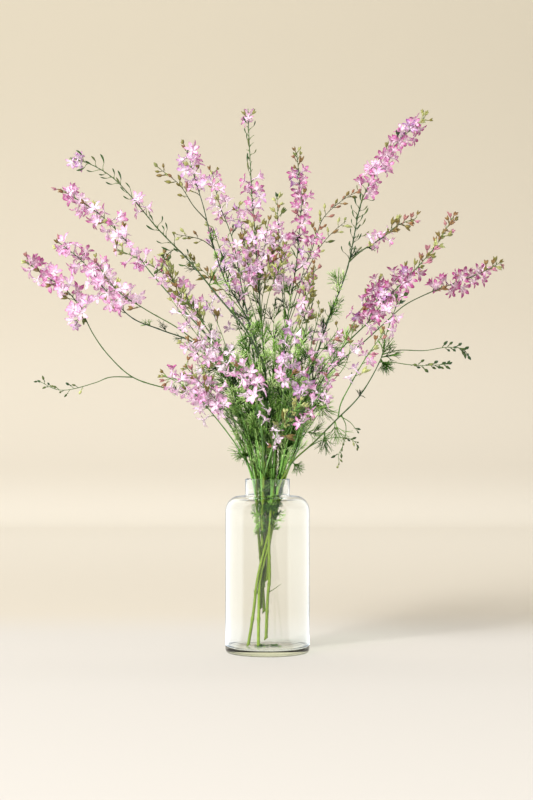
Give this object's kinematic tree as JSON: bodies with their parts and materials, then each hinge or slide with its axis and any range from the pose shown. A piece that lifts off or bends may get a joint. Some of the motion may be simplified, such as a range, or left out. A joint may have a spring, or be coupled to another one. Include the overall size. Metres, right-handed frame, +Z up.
{
  "type": "larkspur in vase",
  "caption": "Loose bunch of cut pink and lilac field larkspur, with arching flower spikes and thread-like leaves, standing in a clear glass bottle vase.",
  "frame": {"origin": "centre of the vase's flat underside, on the surface that it stands on", "axes": "+Z up along the vase's axis, -Y towards the bunch's front, +X towards its right side seen from the front"},
  "size_m": [0.7154, 0.3312, 0.8113],
  "materials": {
    "vase_glass": "gloss",
    "stem": "satin",
    "branch": "satin",
    "petal": "matte",
    "bud": "matte",
    "leaf": "matte"
  },
  "bodies": {
    "root": {"vase_body": "vase_glass", "vase_neck": "vase_glass", "stem_far_left": "stem", "stem_left": "stem", "stem_arching": "stem", "stem_tall_left": "stem", "stem_tallest": "stem", "stem_tall_right": "stem", "stem_spike": "stem", "stem_right": "stem", "stem_low_right": "stem", "stem_back": "stem", "raceme_far_left": "petal", "raceme_left": "petal", "raceme_arching": "petal", "raceme_tall_left": "petal", "raceme_tallest": "petal", "raceme_tall_right": "petal", "raceme_spike": "petal", "raceme_right": "petal", "raceme_low_right": "petal", "raceme_back": "petal", "raceme_long_left": "petal", "raceme_mid_left": "petal", "raceme_low_left": "petal", "raceme_inner_left": "petal", "raceme_back_low_left": "petal", "raceme_front_left": "petal", "raceme_front_lilac": "petal", "raceme_back_centre": "petal", "raceme_side_right": "petal", "raceme_back_right": "petal", "raceme_far_right": "petal", "raceme_front_right": "petal", "raceme_inner_right": "petal", "raceme_back_lilac": "petal", "branch_long_left": "branch", "branch_mid_left": "branch", "branch_low_left": "branch", "branch_inner_left": "branch", "branch_back_low_left": "branch", "branch_front_left": "branch", "branch_front_lilac": "branch", "branch_back_centre": "branch", "branch_side_right": "branch", "branch_back_right": "branch", "branch_far_right": "branch", "branch_front_right": "branch", "branch_inner_right": "branch", "branch_back_lilac": "branch", "bud_twig_long_left": "bud", "bud_twig_arching": "bud", "bud_twig_tall_left_high": "bud", "bud_twig_tall_right_high": "bud", "bud_twig_tall_right_low": "bud", "bud_twig_low_right_high": "bud", "bud_twig_low_right_low": "bud", "bud_twig_low_right_hanging": "bud", "leaf_left": "leaf", "leaf_right": "leaf"}
  },
  "joints": []
}
